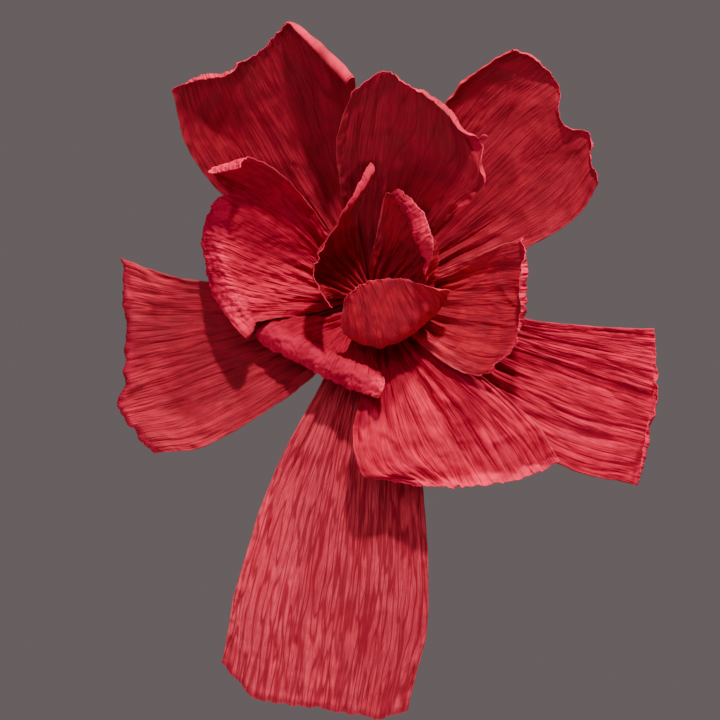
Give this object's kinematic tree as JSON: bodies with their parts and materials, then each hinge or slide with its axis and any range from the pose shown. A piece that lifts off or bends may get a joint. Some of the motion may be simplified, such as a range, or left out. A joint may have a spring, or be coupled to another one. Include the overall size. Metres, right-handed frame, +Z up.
{
  "type": "giant paper flower",
  "caption": "Wall flower of large creased paper petals in two whorls round a cupped bud, glued to a flat card disc.",
  "frame": {"origin": "centre of the backing disc's back face, which lies on the wall", "axes": "+Y into the wall, so the flower faces -Y; +Z up; +X to the right seen from the front"},
  "size_m": [0.4759, 0.1329, 0.6096],
  "materials": {
    "paper": "matte creased red paper",
    "card": "matte red card"
  },
  "bodies": {
    "root": {"backing_disc": "card", "bud_disc": "card", "outer_petal_upper_left": "paper", "outer_petal_upper_right": "paper", "outer_petal_left": "paper", "outer_petal_right": "paper", "outer_petal_bottom": "paper", "middle_petal_top": "paper", "middle_petal_left": "paper", "middle_petal_lower_left": "paper", "middle_petal_lower_right": "paper", "middle_petal_right": "paper", "bud_petal_left": "paper", "bud_petal_right": "paper", "bud_petal_front": "paper"}
  },
  "joints": []
}
